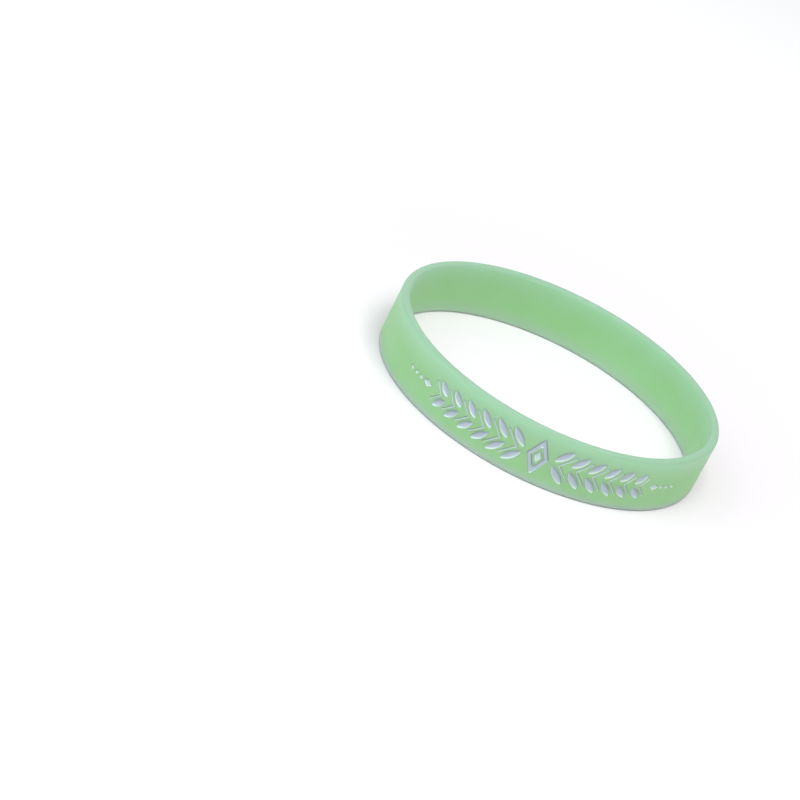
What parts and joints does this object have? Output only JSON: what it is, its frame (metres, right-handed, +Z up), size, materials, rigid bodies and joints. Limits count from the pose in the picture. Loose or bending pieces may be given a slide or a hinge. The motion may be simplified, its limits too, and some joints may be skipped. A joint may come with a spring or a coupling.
{
  "type": "silicone wristband",
  "caption": "Thin round moulded silicone wristband with soft edges; its outer face has a recessed, ink-filled ornament of leaves, chevrons and dots around a lozenge.",
  "frame": {"origin": "centre of the ring at its lower edge, where it rests", "axes": "+Z up along the ring's axis; the middle of the ornament faces -Y, and +X is to its right"},
  "size_m": [0.0716, 0.0716, 0.012],
  "materials": {
    "silicone": "matte translucent moulded silicone, light green, paler and bluer towards its thin edges",
    "ink": "silvery lavender printing ink, satin"
  },
  "bodies": {
    "root": {"band": "silicone", "centre_ink": "ink", "spot_ink": "ink", "leaf_ink_01": "ink", "leaf_ink_02": "ink", "leaf_ink_03": "ink", "leaf_ink_04": "ink", "leaf_ink_05": "ink", "leaf_ink_06": "ink", "leaf_ink_07": "ink", "leaf_ink_08": "ink", "leaf_ink_09": "ink", "leaf_ink_10": "ink", "leaf_ink_11": "ink", "leaf_ink_12": "ink", "leaf_ink_13": "ink", "leaf_ink_14": "ink", "leaf_ink_15": "ink", "leaf_ink_16": "ink", "leaf_ink_17": "ink", "leaf_ink_18": "ink", "leaf_ink_19": "ink", "leaf_ink_20": "ink", "leaf_ink_21": "ink", "leaf_ink_22": "ink", "leaf_ink_23": "ink", "leaf_ink_24": "ink", "chevron_ink_01": "ink", "chevron_ink_02": "ink", "chevron_ink_03": "ink", "chevron_ink_04": "ink", "chevron_ink_05": "ink", "chevron_ink_06": "ink", "chevron_ink_07": "ink", "chevron_ink_08": "ink", "chevron_ink_09": "ink", "chevron_ink_10": "ink", "chevron_ink_11": "ink", "chevron_ink_12": "ink", "end_ink_01": "ink", "end_ink_02": "ink", "dot_ink_01": "ink", "dot_ink_02": "ink", "dot_ink_03": "ink", "dot_ink_04": "ink", "dot_ink_05": "ink", "dot_ink_06": "ink"}
  },
  "joints": []
}
